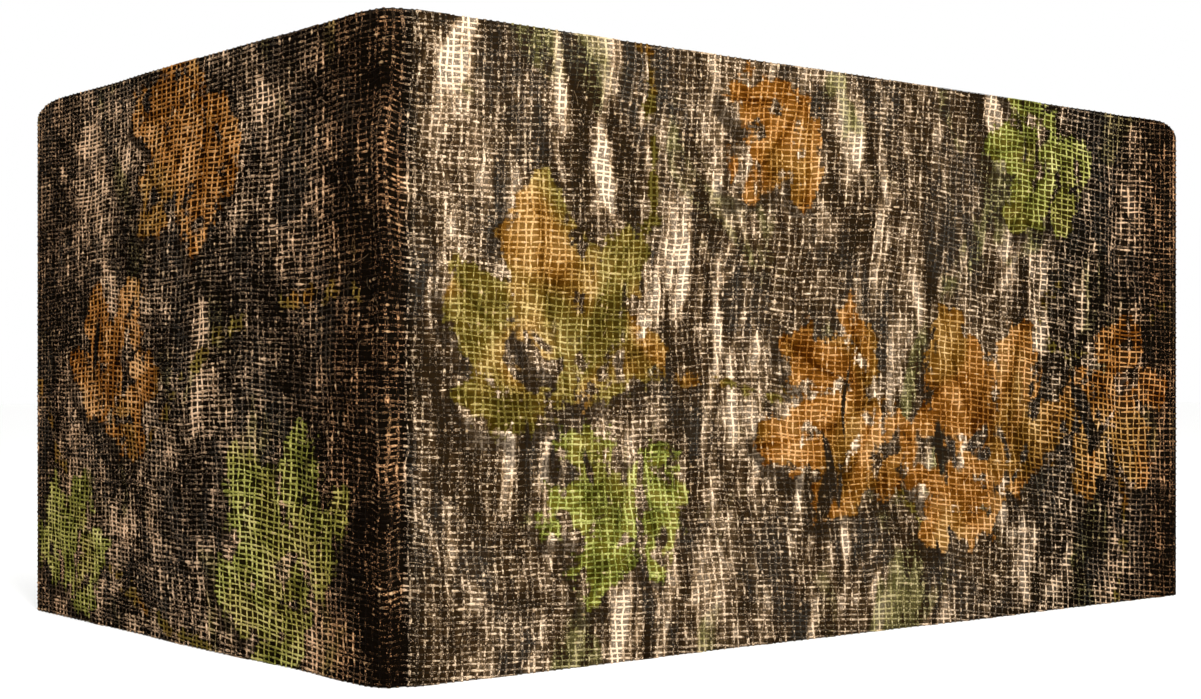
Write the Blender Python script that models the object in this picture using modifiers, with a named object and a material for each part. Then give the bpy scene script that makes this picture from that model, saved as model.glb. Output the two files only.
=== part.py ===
"""Camouflage net: one cut length of open-weave jute cloth, standing on its lower edge.

The cloth is bent round a soft upright corner into a short left wing and a long right wing.
A narrow bead of slack cloth runs up the corner, with a groove on each side of it, and both
wings are slightly uneven. The two outer upper corners are rounded, the lower ones are square.

Metres, +Z up. The right wing runs along +X with its outer face towards -Y. The left wing runs
along +Y with its outer face towards -X. The origin is the middle of the foot of the box that
holds the cloth.
"""

import math
from collections import namedtuple

import bmesh
import bpy
from mathutils import Vector

# The cloth's size over its outer faces, each wing from where the two faces would cross.
HEIGHT = 0.308
RIGHT_WING = 0.610
LEFT_WING = 0.390
THICKNESS = 0.002
CORNER_RADIUS = 0.020

# Rounding of the two outer upper corners: how far it reaches along the cloth and down.
Rounding = namedtuple("Rounding", "reach drop")
LEFT_ROUNDING = Rounding(reach=0.034, drop=0.010)
RIGHT_ROUNDING = Rounding(reach=0.022, drop=0.011)

# Below and above this margin the folds no longer change, so both edges stand plumb.
PLUMB_MARGIN = 0.012

# One row for each fold. "along" is the place of its middle on the cloth, from the corner's
# middle and positive on the right wing, at the height "centre". "depth" is positive outwards.
# "reach" is how far it runs up and down from its centre, and "lean" its shift for each metre up.
Fold = namedtuple("Fold", "name along half_width depth centre reach lean")
FOLDS = (
    Fold("corner bead", -0.0010, 0.0060, 0.0042, 0.155, 0.230, 0.004),
    Fold("groove right of the bead", 0.0080, 0.0055, -0.0032, 0.085, 0.200, 0.006),
    Fold("groove left of the bead", -0.0105, 0.0070, -0.0020, 0.200, 0.180, 0.000),
    Fold("hollow of the left wing", -0.070, 0.060, -0.0030, 0.150, 0.300, 0.060),
    Fold("swell of the left wing", -0.190, 0.080, 0.0022, 0.120, 0.260, -0.120),
    Fold("upper dent of the left wing", -0.290, 0.050, -0.0020, 0.230, 0.150, 0.150),
    Fold("swell by the corner", 0.075, 0.060, 0.0020, 0.170, 0.260, 0.000),
    Fold("slack of the right wing", 0.185, 0.070, -0.0022, 0.110, 0.220, -0.180),
    Fold("upper swell of the right wing", 0.290, 0.070, 0.0020, 0.230, 0.190, 0.120),
    Fold("lower swell of the right wing", 0.400, 0.080, 0.0024, 0.080, 0.180, -0.100),
    Fold("trough by the right end", 0.545, 0.018, -0.0034, 0.195, 0.175, 0.000),
    Fold("lip beside the trough", 0.515, 0.020, 0.0014, 0.180, 0.190, 0.000),
)

# The grid that the cloth is modelled on.
FINE_ZONE = 0.026
FINE_STEP = 0.002
PLAIN_STEP = 0.0085
ROUNDING_STEPS = 6
ROWS_BETWEEN_MARGINS = 11

SHARP_ANGLE = math.radians(40)
JUTE_BROWN = (0.13, 0.10, 0.06, 1.0)

MIDDLE_RADIUS = CORNER_RADIUS - THICKNESS / 2
HALF_ARC = MIDDLE_RADIUS * math.radians(45)
LEFT_END = -(LEFT_WING - CORNER_RADIUS + HALF_ARC)
RIGHT_END = RIGHT_WING - CORNER_RADIUS + HALF_ARC


def clear_scene():
    for thing in list(bpy.data.objects):
        bpy.data.objects.remove(thing, do_unlink=True)


def bell(t):
    """A smooth bump: 1 at t = 0 and level with 0 from t = 1 on either side."""
    return 0.5 * (1 + math.cos(math.pi * t)) if abs(t) < 1 else 0.0


def fold_offset(along, up):
    """How far the folds carry the cloth outwards at this place."""
    up = min(max(up, PLUMB_MARGIN), HEIGHT - PLUMB_MARGIN)
    offset = 0.0
    for fold in FOLDS:
        middle = fold.along + fold.lean * (up - fold.centre)
        across = bell((along - middle) / fold.half_width)
        offset += fold.depth * across * bell((up - fold.centre) / fold.reach)
    return offset


def plan(along):
    """The middle of the smooth cloth in plan, and its outward direction."""
    turn = min(max(along, -HALF_ARC), HALF_ARC)
    angle = math.radians(225) + turn / MIDDLE_RADIUS
    outward = Vector((math.cos(angle), math.sin(angle), 0))
    middle = Vector((CORNER_RADIUS, CORNER_RADIUS, 0)) + MIDDLE_RADIUS * outward
    forward = Vector((-outward.y, outward.x, 0))
    return middle + (along - turn) * forward, outward


def top_at(along):
    """The height of the cloth's upper edge at this place."""
    for end, rounding in ((-LEFT_END, LEFT_ROUNDING), (RIGHT_END, RIGHT_ROUNDING)):
        inward = end - abs(along)
        on_this_wing = (along > 0) == (end == RIGHT_END)
        if on_this_wing and inward < rounding.reach:
            t = max(1 - inward / rounding.reach, 0.0)
            return HEIGHT - rounding.drop * (1 - math.sqrt(max(1 - t * t, 0.0)))
    return HEIGHT


def evenly(start, stop, step):
    """Places from start up to but not including stop, at about this step."""
    count = max(round((stop - start) / step), 1)
    return [start + (stop - start) * k / count for k in range(count)]


def rounding_places(reach):
    """Distances in from the cloth's end, closest where the rounded outline is steepest."""
    turns = [math.radians(90) * k / ROUNDING_STEPS for k in range(ROUNDING_STEPS)]
    return [reach * (1 - math.cos(turn)) for turn in turns]


def column_places():
    left_plain = LEFT_END + LEFT_ROUNDING.reach
    right_plain = RIGHT_END - RIGHT_ROUNDING.reach
    places = [LEFT_END + inward for inward in rounding_places(LEFT_ROUNDING.reach)]
    places += evenly(left_plain, -FINE_ZONE, PLAIN_STEP)
    places += evenly(-FINE_ZONE, FINE_ZONE, FINE_STEP)
    places += evenly(FINE_ZONE, right_plain, PLAIN_STEP)
    places.append(right_plain)
    places += [RIGHT_END - inward for inward in reversed(rounding_places(RIGHT_ROUNDING.reach))]
    return places


def row_shares():
    """Heights of the grid's rows, as shares of the cloth's height at each column."""
    margin = PLUMB_MARGIN / HEIGHT
    inner = [
        margin + (1 - 2 * margin) * k / ROWS_BETWEEN_MARGINS
        for k in range(ROWS_BETWEEN_MARGINS + 1)
    ]
    return [0.0] + inner + [1.0]


def bend_cloth(bm, columns, rows):
    """Carry each point of a flat unit grid to its place on the folded cloth."""
    for vert in bm.verts:
        along = columns[round((vert.co.x + 0.5) * (len(columns) - 1))]
        up = rows[round((vert.co.y + 0.5) * (len(rows) - 1))] * top_at(along)
        middle, outward = plan(along)
        vert.co = middle + fold_offset(along, up) * outward
        vert.co.z = up


def principled(name, colour, roughness):
    material = bpy.data.materials.new(name)
    material.use_nodes = True
    shader = material.node_tree.nodes["Principled BSDF"]
    shader.inputs["Base Color"].default_value = colour
    shader.inputs["Roughness"].default_value = roughness
    shader.inputs["Metallic"].default_value = 0.0
    material.diffuse_color = colour
    return material


def make_cloth(collection):
    columns = column_places()
    rows = row_shares()
    bm = bmesh.new()
    bmesh.ops.create_grid(
        bm, x_segments=len(columns) - 1, y_segments=len(rows) - 1, size=0.5
    )
    bend_cloth(bm, columns, rows)
    mesh = bpy.data.meshes.new("camo_net")
    bm.to_mesh(mesh)
    bm.free()
    mesh.materials.append(principled("jute_cloth", JUTE_BROWN, 0.9))
    cloth = bpy.data.objects.new("camo_net", mesh)
    collection.objects.link(cloth)
    return cloth


def thicken(cloth):
    shell = cloth.modifiers.new("Thickness", "SOLIDIFY")
    shell.thickness = THICKNESS
    shell.offset = 0.0
    shell.use_even_offset = True
    bpy.context.view_layer.objects.active = cloth
    bpy.ops.object.modifier_apply(modifier=shell.name)
    cloth.data.shade_smooth()
    cloth.data.set_sharp_from_angle(angle=SHARP_ANGLE)


def stand_on_origin(cloth):
    """Put the middle of the foot of the cloth's box at the world's origin."""
    corners = [Vector(corner) for corner in cloth.bound_box]
    low = Vector([min(corner[axis] for corner in corners) for axis in range(3)])
    high = Vector([max(corner[axis] for corner in corners) for axis in range(3)])
    cloth.location = (-(low.x + high.x) / 2, -(low.y + high.y) / 2, -low.z)


def main():
    clear_scene()
    collection = bpy.data.collections.new("camouflage_net")
    bpy.context.scene.collection.children.link(collection)
    cloth = make_cloth(collection)
    thicken(cloth)
    stand_on_origin(cloth)


main()
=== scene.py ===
import math
from collections import namedtuple

import bmesh
import bpy
import numpy as np
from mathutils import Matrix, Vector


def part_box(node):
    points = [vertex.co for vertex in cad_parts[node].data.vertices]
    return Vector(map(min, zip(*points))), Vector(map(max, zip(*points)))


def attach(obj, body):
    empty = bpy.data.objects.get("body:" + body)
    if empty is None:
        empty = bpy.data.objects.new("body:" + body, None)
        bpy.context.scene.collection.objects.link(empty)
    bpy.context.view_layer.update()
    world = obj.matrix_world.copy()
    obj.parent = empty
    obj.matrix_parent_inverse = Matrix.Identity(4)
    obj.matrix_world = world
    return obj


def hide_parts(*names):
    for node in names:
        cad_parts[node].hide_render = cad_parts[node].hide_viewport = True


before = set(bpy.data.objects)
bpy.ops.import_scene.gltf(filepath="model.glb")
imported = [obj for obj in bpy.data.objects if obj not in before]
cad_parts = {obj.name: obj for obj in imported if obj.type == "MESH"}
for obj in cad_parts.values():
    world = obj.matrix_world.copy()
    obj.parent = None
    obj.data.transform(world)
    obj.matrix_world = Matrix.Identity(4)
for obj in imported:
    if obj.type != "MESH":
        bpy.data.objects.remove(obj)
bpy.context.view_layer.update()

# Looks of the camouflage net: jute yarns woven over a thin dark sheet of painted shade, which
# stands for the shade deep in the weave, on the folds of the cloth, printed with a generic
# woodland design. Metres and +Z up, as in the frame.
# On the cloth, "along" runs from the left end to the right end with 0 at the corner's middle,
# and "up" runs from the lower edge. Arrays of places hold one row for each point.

NODE = "camo_net"
BODY = "root"
RANDOM = np.random.default_rng(7)

# ---------------- the cloth and its folds

HEIGHT = 0.308
RIGHT_WING = 0.610
LEFT_WING = 0.390
THICKNESS = 0.002
CORNER_RADIUS = 0.020
Rounding = namedtuple("Rounding", "reach drop")
LEFT_ROUNDING = Rounding(reach=0.034, drop=0.010)
RIGHT_ROUNDING = Rounding(reach=0.022, drop=0.011)
PLUMB_MARGIN = 0.012

Fold = namedtuple("Fold", "name along half_width depth centre reach lean")
FOLDS = (
    Fold("corner bead", -0.0010, 0.0060, 0.0042, 0.155, 0.230, 0.004),
    Fold("groove right of the bead", 0.0080, 0.0055, -0.0032, 0.085, 0.200, 0.006),
    Fold("groove left of the bead", -0.0105, 0.0070, -0.0020, 0.200, 0.180, 0.000),
    Fold("hollow of the left wing", -0.070, 0.060, -0.0030, 0.150, 0.300, 0.060),
    Fold("swell of the left wing", -0.190, 0.080, 0.0022, 0.120, 0.260, -0.120),
    Fold("upper dent of the left wing", -0.290, 0.050, -0.0020, 0.230, 0.150, 0.150),
    Fold("swell by the corner", 0.075, 0.060, 0.0020, 0.170, 0.260, 0.000),
    Fold("slack of the right wing", 0.185, 0.070, -0.0022, 0.110, 0.220, -0.180),
    Fold("upper swell of the right wing", 0.290, 0.070, 0.0020, 0.230, 0.190, 0.120),
    Fold("lower swell of the right wing", 0.400, 0.080, 0.0024, 0.080, 0.180, -0.100),
    Fold("trough by the right end", 0.545, 0.018, -0.0034, 0.195, 0.175, 0.000),
    Fold("lip beside the trough", 0.515, 0.020, 0.0014, 0.180, 0.190, 0.000),
)

MIDDLE_RADIUS = CORNER_RADIUS - THICKNESS / 2
HALF_ARC = MIDDLE_RADIUS * math.radians(45)
LEFT_END = -(LEFT_WING - CORNER_RADIUS + HALF_ARC)
RIGHT_END = RIGHT_WING - CORNER_RADIUS + HALF_ARC

# Places where the yarns lie askew, as the cloth has been pulled: each shifts them by "rise"
# upwards and by "slide" along, most at its own middle. The first two bow the upright yarns.
Skew = namedtuple("Skew", "along up half_along half_up rise slide")
SKEWS = (
    Skew(0.280, 0.150, 0.330, 0.190, 0.0000, -0.0150),
    Skew(-0.190, 0.150, 0.200, 0.190, 0.0000, -0.0110),
    Skew(0.300, 0.215, 0.120, 0.100, 0.0030, 0.0030),
    Skew(0.110, 0.120, 0.090, 0.130, -0.0030, 0.0020),
    Skew(-0.290, 0.190, 0.090, 0.120, 0.0040, -0.0030),
    Skew(-0.120, 0.100, 0.080, 0.100, 0.0030, 0.0030),
    Skew(-0.001, 0.060, 0.0085, 0.110, -0.0024, 0.0000),
    Skew(-0.001, 0.250, 0.0085, 0.110, 0.0024, 0.0000),
)

# Slow waves of the yarns' lines in the cloth, and of the cloth out of its plane. Along its own
# crests each wave swells and fades at CREST_RATE times its rate.
Wave = namedtuple("Wave", "size per_along per_up start")
WANDER_UP = (Wave(0.0012, 7, 3, 1.1), Wave(0.0005, 21, 9, 0.3), Wave(0.0002, 47, 31, 1.9))
WANDER_ALONG = (Wave(0.0014, 3, 10, 2.2), Wave(0.0005, 11, 23, 5.2), Wave(0.0003, 37, 53, 0.7))
COCKLE = (Wave(0.00045, 31, 17, 0.9), Wave(0.00030, 58, 39, 2.6), Wave(0.00018, 97, 71, 4.1))
CREST_RATE = 0.4
EDGE_FADE = 0.030
NORMAL_STEP = 0.0004


def bell(t):
    """A smooth bump: 1 at t = 0 and level with 0 from t = 1 on either side."""
    return np.where(np.abs(t) < 1, 0.5 * (1 + np.cos(np.pi * np.clip(t, -1, 1))), 0.0)


def smooth_step(t):
    t = np.clip(t, 0, 1)
    return t * t * (3 - 2 * t)


def unit(rows):
    """Each row as a direction of length 1."""
    return rows / np.linalg.norm(rows, axis=1, keepdims=True)


def waves(rows, along, up):
    total = np.zeros_like(along)
    for wave in rows:
        turn = 2 * np.pi * (wave.per_along * along + wave.per_up * up)
        crest = 2 * np.pi * (wave.per_up * along - wave.per_along * up)
        total += wave.size * np.sin(turn + wave.start) * np.cos(CREST_RATE * crest + wave.start)
    return total


def to_ends(along):
    return np.minimum(along - LEFT_END, RIGHT_END - along)


def to_edges(up):
    return np.minimum(up, HEIGHT - up)


def fold_offset(along, up):
    """How far the folds carry the cloth outwards."""
    plumb = np.clip(up, PLUMB_MARGIN, HEIGHT - PLUMB_MARGIN)
    offset = np.zeros_like(along)
    for fold in FOLDS:
        middle = fold.along + fold.lean * (plumb - fold.centre)
        across = bell((along - middle) / fold.half_width)
        offset += fold.depth * across * bell((plumb - fold.centre) / fold.reach)
    inside = smooth_step(np.minimum(to_ends(along), to_edges(up)) / EDGE_FADE)
    return offset + waves(COCKLE, along, up) * inside


def plan(along):
    """The middle of the smooth cloth in plan, and its outward direction."""
    turn = np.clip(along, -HALF_ARC, HALF_ARC)
    angle = math.radians(225) + turn / MIDDLE_RADIUS
    outward = np.stack([np.cos(angle), np.sin(angle)], axis=1)
    forward = np.stack([-outward[:, 1], outward[:, 0]], axis=1)
    middle = CORNER_RADIUS + MIDDLE_RADIUS * outward
    return middle + (along - turn)[:, None] * forward, outward


def corner_shift():
    """Where the frame has the point in plan at which the two outer faces would cross."""
    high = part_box(NODE)[1]
    return np.array([high.x - RIGHT_WING, high.y - LEFT_WING])


CORNER_AT = corner_shift()


def place(along, up):
    """Points of the cloth's middle layer."""
    middle, outward = plan(along)
    flat = middle + fold_offset(along, up)[:, None] * outward + CORNER_AT
    return np.column_stack([flat, up])


def facing(along, up):
    """The cloth's outward normal at each place."""
    forward = place(along + NORMAL_STEP, up) - place(along - NORMAL_STEP, up)
    upward = place(along, up + NORMAL_STEP) - place(along, up - NORMAL_STEP)
    return unit(np.cross(forward, upward))


def top_at(along):
    """The height of the cloth's upper edge."""
    top = np.full_like(along, HEIGHT)
    for inward, rounding in (
        (along - LEFT_END, LEFT_ROUNDING),
        (RIGHT_END - along, RIGHT_ROUNDING),
    ):
        t = np.clip(1 - inward / rounding.reach, 0, 1)
        top -= rounding.drop * (1 - np.sqrt(1 - t * t))
    return top


def skewed(along, up):
    """Where a place of the even weave lies once the cloth has been pulled askew."""
    rise = waves(WANDER_UP, along, up)
    slide = waves(WANDER_ALONG, along, up)
    for skew in SKEWS:
        near = bell((along - skew.along) / skew.half_along)
        near = near * bell((up - skew.up) / skew.half_up)
        rise += skew.rise * near
        slide += skew.slide * near
    slide = slide * smooth_step(to_ends(along) / EDGE_FADE)
    return along + slide, up + rise * smooth_step(to_edges(up) / EDGE_FADE)


# ---------------- the printed leaves

# Each leaf of the print is a fan of leaflets on one foot at "along" and "up". Its middle leaflet
# points "heading" degrees anticlockwise from the cloth's forward direction and is "length" long.
# The leaves are painted in this order, so later ones lie over earlier ones.
Fan = namedtuple("Fan", "colour along up heading length leaflets")
FANS = (
    Fan("ochre", 0.322, 0.132, 196, 0.098, 5),
    Fan("ochre", 0.512, 0.150, 306, 0.098, 5),
    Fan("ochre", 0.430, 0.072, 118, 0.124, 5),
    Fan("green", 0.480, 0.296, 236, 0.082, 5),
    Fan("green", 0.140, 0.104, 250, 0.080, 5),
    Fan("lime", 0.102, 0.130, 100, 0.112, 5),
    Fan("ochre", 0.262, 0.292, 226, 0.078, 3),
    Fan("ochre", -0.290, 0.118, 58, 0.092, 5),
    Fan("ochre", -0.165, 0.292, 222, 0.104, 5),
    Fan("green", -0.345, 0.020, 62, 0.078, 5),
    Fan("green", -0.062, 0.030, 136, 0.108, 5),
)

# The leaflets on both sides of a fan's middle one, outer pair first: how far they are turned from
# it, and their length as a share of its length.
Pair = namedtuple("Pair", "turn share")
PAIRS = {3: (Pair(42, 0.78),), 5: (Pair(76, 0.62), Pair(38, 0.86))}
Leaf = namedtuple("Leaf", "colour along up heading length bend width")
LEAF_COLOURS = ("green", "ochre", "lime")

# A leaflet's half width at t, from its foot to its tip, goes with t**FOOT_POWER and with
# (1 - t)**TIP_POWER. OUTLINE_PEAK is about the greatest value of their product. Each tooth
# widens the leaflet, from TOOTH_START of that half width by TOOTH_DEPTH of it.
LEAFLET_SLIMNESS = 0.44
FOOT_POWER = 0.80
TIP_POWER = 0.62
OUTLINE_PEAK = 0.3837
TOOTH_START = 0.95
TOOTH_DEPTH = 0.08
EDGE_SLOPE = 0.85
LEAF_BEND = 0.06
VEIN_GAP = 0.010

# Mossy twigs between the leaves, each a shallow arc that is thickest at its foot.
Twig = namedtuple("Twig", "along up heading length bend width")
TWIGS = (
    Twig(0.150, 0.306, 262, 0.170, 0.10, 0.0050),
    Twig(0.118, 0.142, 340, 0.260, 0.12, 0.0042),
    Twig(0.300, 0.090, 32, 0.220, -0.14, 0.0040),
    Twig(0.590, 0.190, 192, 0.130, 0.15, 0.0036),
    Twig(0.540, 0.000, 96, 0.120, -0.12, 0.0034),
    Twig(-0.020, 0.180, 200, 0.230, -0.12, 0.0042),
    Twig(-0.160, 0.000, 148, 0.260, 0.14, 0.0040),
)
TWIG_FOOT = 1.2
TWIG_TAPER = 0.7
SHADOW_SHIFT = (0.0050, 0.0065)
FAR = -0.05

# Painted shade and light along the cloth: how much darker or paler the whole print is made,
# darkest in the corner's creases and at the right end, where the light falls off, and darker on
# the left wing, which is in shade and whose print is also darker, than on the right one.
Wash = namedtuple("Wash", "along shift")
SHADE_WASHES = (
    Wash(-0.385, -0.195),
    Wash(-0.300, -0.145),
    Wash(-0.110, -0.130),
    Wash(-0.060, -0.175),
    Wash(-0.028, -0.265),
    Wash(-0.010, -0.440),
    Wash(-0.004, -0.370),
    Wash(0.005, -0.270),
    Wash(0.011, -0.030),
    Wash(0.025, 0.030),
    Wash(0.300, 0.025),
    Wash(0.420, -0.018),
    Wash(0.500, -0.085),
    Wash(0.560, -0.150),
    Wash(0.605, -0.320),
)


def shade_wash_at(along):
    return np.interp(along, [wash.along for wash in SHADE_WASHES], [wash.shift for wash in SHADE_WASHES])


def leaves_of(fan):
    """The fan's leaflets as leaves, in the order in which they are painted."""
    pairs = [(side * pair.turn, pair.share) for pair in PAIRS[fan.leaflets] for side in (1, -1)]
    rows = []
    for turn, share in [*pairs, (0, 1.0)]:
        length = fan.length * share
        shape = (fan.heading + turn, length, LEAF_BEND, length * LEAFLET_SLIMNESS)
        rows.append(Leaf(fan.colour, fan.along, fan.up, *shape))
    return rows


def seen_from(arc, along, up):
    """Where each place is by a leaf's or twig's arc.

    This gives t, from 0 at the foot to 1 at the tip, the run ahead of the foot, the side to the
    left of the arc, and how far the place is beyond either end.
    """
    turn = math.radians(arc.heading)
    ahead = math.cos(turn), math.sin(turn)
    run = (along - arc.along) * ahead[0] + (up - arc.up) * ahead[1]
    side = (up - arc.up) * ahead[0] - (along - arc.along) * ahead[1]
    t = np.clip(run / arc.length, 0, 1)
    beyond = np.maximum(np.maximum(-run, run - arc.length), 0)
    return t, run, side - arc.bend * arc.length * np.sin(np.pi * t), beyond


def leaf_fields(leaf, along, up):
    """For one leaf: how far inside its toothed outline each place is, and its run and side."""
    t, run, side, beyond = seen_from(leaf, along, up)
    outline = t**FOOT_POWER * (1 - t) ** TIP_POWER / OUTLINE_PEAK
    tooth = (run / (VEIN_GAP / 2)) % 1.0
    half = leaf.width / 2 * outline * (TOOTH_START + TOOTH_DEPTH * tooth)
    return np.maximum((half - np.abs(side)) * EDGE_SLOPE - beyond, FAR), run, side


def twig_inside(twig, along, up):
    t, _, side, beyond = seen_from(twig, along, up)
    half = twig.width / 2 * (TWIG_FOOT - TWIG_TAPER * t)
    return np.maximum(half - np.abs(side) - beyond, FAR)


def print_fields(along, up):
    """The leaf print as distances, which the material turns into colours.

    "leaves" holds how far inside a green, ochre or lime leaf each place is. "veins" holds the
    run and side of the place on the leaf that shows there, and how far it is inside a shadow.
    """
    leaves = {colour: np.full_like(along, FAR) for colour in LEAF_COLOURS}
    for twig in TWIGS:
        leaves["lime"] = np.maximum(leaves["lime"], twig_inside(twig, along, up))
    shadow = np.full_like(along, FAR)
    shown_run = np.zeros_like(along)
    shown_side = np.zeros_like(along)
    for leaf in [leaf for fan in FANS for leaf in leaves_of(fan)]:
        inside, run, side = leaf_fields(leaf, along, up)
        cast = leaf_fields(leaf, along + SHADOW_SHIFT[0], up + SHADOW_SHIFT[1])[0]
        for colour in LEAF_COLOURS:
            leaves[colour] = np.minimum(leaves[colour], -inside)
        leaves[leaf.colour] = np.maximum(leaves[leaf.colour], inside)
        shadow = np.minimum(np.maximum(shadow, cast), -inside)
        shown_run = np.where(inside > 0, run, shown_run)
        shown_side = np.where(inside > 0, side, shown_side)
    return {
        "leaves": np.column_stack([leaves[colour] for colour in LEAF_COLOURS]),
        "veins": np.column_stack([shown_run, shown_side, shadow]),
    }


# ---------------- the yarns

# Level yarns are wefts and upright ones are warps. From the left end to the right one the wefts
# fan out about FAN_CENTRE, and they drop by the right end, so some run off through the cut edges.
WEFT_PITCH = 0.00262
FAN_CENTRE = 0.200
FAN_SPREAD = 0.335
FAN_POWER = 1.65
END_DROP = 0.013
DROP_STARTS = 0.75
Spacing = namedtuple("Spacing", "along warp_pitch")
SPACINGS = (
    Spacing(-0.385, 0.0052),
    Spacing(-0.030, 0.0050),
    Spacing(0.010, 0.0040),
    Spacing(0.150, 0.0046),
    Spacing(0.300, 0.0052),
    Spacing(0.605, 0.0053),
)
CLOSEST_WARPS = min(spacing.warp_pitch for spacing in SPACINGS)
FIRST_WARP_OUTSIDE = 0.6

WEFT_WIDTH = 0.00122
WARP_WIDTH = 0.00155
YARN_THICKNESS = 0.00110
WEAVE_DEPTH = 0.00020
SIDES = 4
FRAY = 0.00036
EDGE_CLEARANCE = 0.0006
PIECES_EACH_WAY = 4

# Random shares of the pitch by which yarns stand off their even places and wander, and the
# number of crossings over which a yarn wanders.
PLACE_JITTER = 0.10
YARN_WANDER = 0.08
WEFT_WANDER_STEPS = 5
WARP_WANDER_STEPS = 6

# Jute is thick and thin along its length, with a few lumps. Shares of a yarn's plain width.
Drift = namedtuple("Drift", "size steps")
WIDTH_DRIFTS = (Drift(0.09, 10), Drift(0.06, 3))
LUMP_CHANCE = 0.003
LUMP_SIZE = 0.45
LUMP_STEPS = 9
WIDTH_SPREAD = 0.08
WIDTH_LIMITS = (0.65, 1.8)

# Ink wears off at random, and most on the crowns, where a yarn stands out on either side.
CROWN_SHARE = 0.9
WEAR_BESIDE_CROWNS = 0.45
WEAR_POWER = 3.5

# The arrays of one mesh. The materials read three of them at each point. "cloth" is the place
# along and up the cloth, then the side: 1 outwards and -1 inwards. "thread" is the run along the
# yarn, the flank from -1 to 1 and the yarn's luck, a random number. "ink" is how much ink has
# worn off. "uv" is the bake map, with a row for each corner of each face.
Shape = namedtuple("Shape", "points faces cloth thread ink uv")

# Where a yarn lies in its piece's bake map: by its number in the piece and the strips that each
# yarn takes, of this length. CAP_REACH is the width of an end's place in the map.
Strips = namedtuple("Strips", "number per_yarn length")
CAP_REACH = 0.002


def warp_places():
    """Where the warps stand along the cloth, from just before its left end to past its right."""
    pitches = [[row.along for row in SPACINGS], [row.warp_pitch for row in SPACINGS]]
    places = []
    here = LEFT_END - SPACINGS[0].warp_pitch * FIRST_WARP_OUTSIDE
    while here < RIGHT_END + SPACINGS[-1].warp_pitch:
        pitch = np.interp(here, *pitches)
        places.append(here + RANDOM.normal(0, PLACE_JITTER) * pitch)
        here += pitch
    return np.array(places)


def weft_places():
    """The heights of the wefts at the left end, from just below the cloth to just above it."""
    middles = np.arange(-0.5, HEIGHT / WEFT_PITCH + 1) * WEFT_PITCH
    return middles + RANDOM.normal(0, PLACE_JITTER, len(middles)) * WEFT_PITCH


def laid(along, up):
    """Where a place of the even weave lies on the cloth."""
    share = np.clip((along - LEFT_END) / (RIGHT_END - LEFT_END), 0, None)
    spread = 1 + FAN_SPREAD * share**FAN_POWER
    drop = END_DROP * smooth_step((share - DROP_STARTS) / (1 - DROP_STARTS))
    return skewed(along, FAN_CENTRE + (up - FAN_CENTRE) * spread - drop)


def drift(count, reach):
    """A slow random curve of this many steps, about 1 in size, that changes over "reach" steps."""
    raw = RANDOM.normal(0, 1, count + 4 * reach)
    window = np.hanning(2 * reach + 1)
    slow = np.convolve(raw, window / np.sqrt((window**2).sum()), mode="same")
    return slow[2 * reach : 2 * reach + count]


def slubs(count):
    """A yarn's width along its length, as shares of its plain width."""
    width = 1 + sum(row.size * drift(count, row.steps) for row in WIDTH_DRIFTS)
    lumps = RANDOM.random(count) < LUMP_CHANCE
    width += LUMP_SIZE * np.convolve(lumps, np.hanning(LUMP_STEPS), mode="same")
    return np.clip(width * (1 + WIDTH_SPREAD * RANDOM.normal()), *WIDTH_LIMITS)


def tube_walls(rings, sides):
    """The side faces of one tube with this many rings of points."""
    first = np.arange(rings - 1)[:, None] * sides
    here = np.arange(sides)
    after = (here + 1) % sides
    walls = [first + here, first + sides + here, first + sides + after, first + after]
    return np.stack(walls, axis=-1).reshape(-1, 4)


def tube_rings(line, across, outward, width, thickness, sides):
    """Rings of points round a line, with each point's flank and side in its ring."""
    turns = 2 * np.pi * np.arange(sides) / sides
    flank, side = np.cos(turns), np.sin(turns)
    points = (
        line[:, None]
        + (width[:, None] / 2 * flank)[..., None] * across[:, None]
        + (thickness[:, None] / 2 * side)[..., None] * outward[:, None]
    )
    return points, flank, side


def wall_uv(left, right, low, high):
    """Map corners of a tube's walls, in the order of each wall's points."""
    corners = ((left, low), (right, low), (right, high), (left, high))
    return np.stack([np.column_stack(corner) for corner in corners], axis=1).reshape(-1, 2)


def yarn_uv(run, strips):
    """Map corners of a yarn's walls, strip after strip, and of its two ends."""
    segment = np.repeat(np.arange(len(run) - 1), SIDES)
    around = np.tile(np.arange(SIDES), len(run) - 1)
    band = np.minimum((run[segment] / strips.length).astype(int), strips.per_yarn - 1)
    row = strips.number * strips.per_yarn + band
    near = np.clip(run[segment] / strips.length - band, 0, 1)
    far = np.clip(run[segment + 1] / strips.length - band, 0, 1)
    walls = wall_uv(near, far, row + around / SIDES, row + (around + 1) / SIDES)
    cap = np.array([[0, 0], [CAP_REACH, 0], [CAP_REACH, 1], [0, 1]], float)
    first_cap = cap + [0, strips.number * strips.per_yarn]
    last_cap = cap + [far[-1] - CAP_REACH, row[-1]]
    return np.vstack([walls, first_cap, last_cap])


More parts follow.
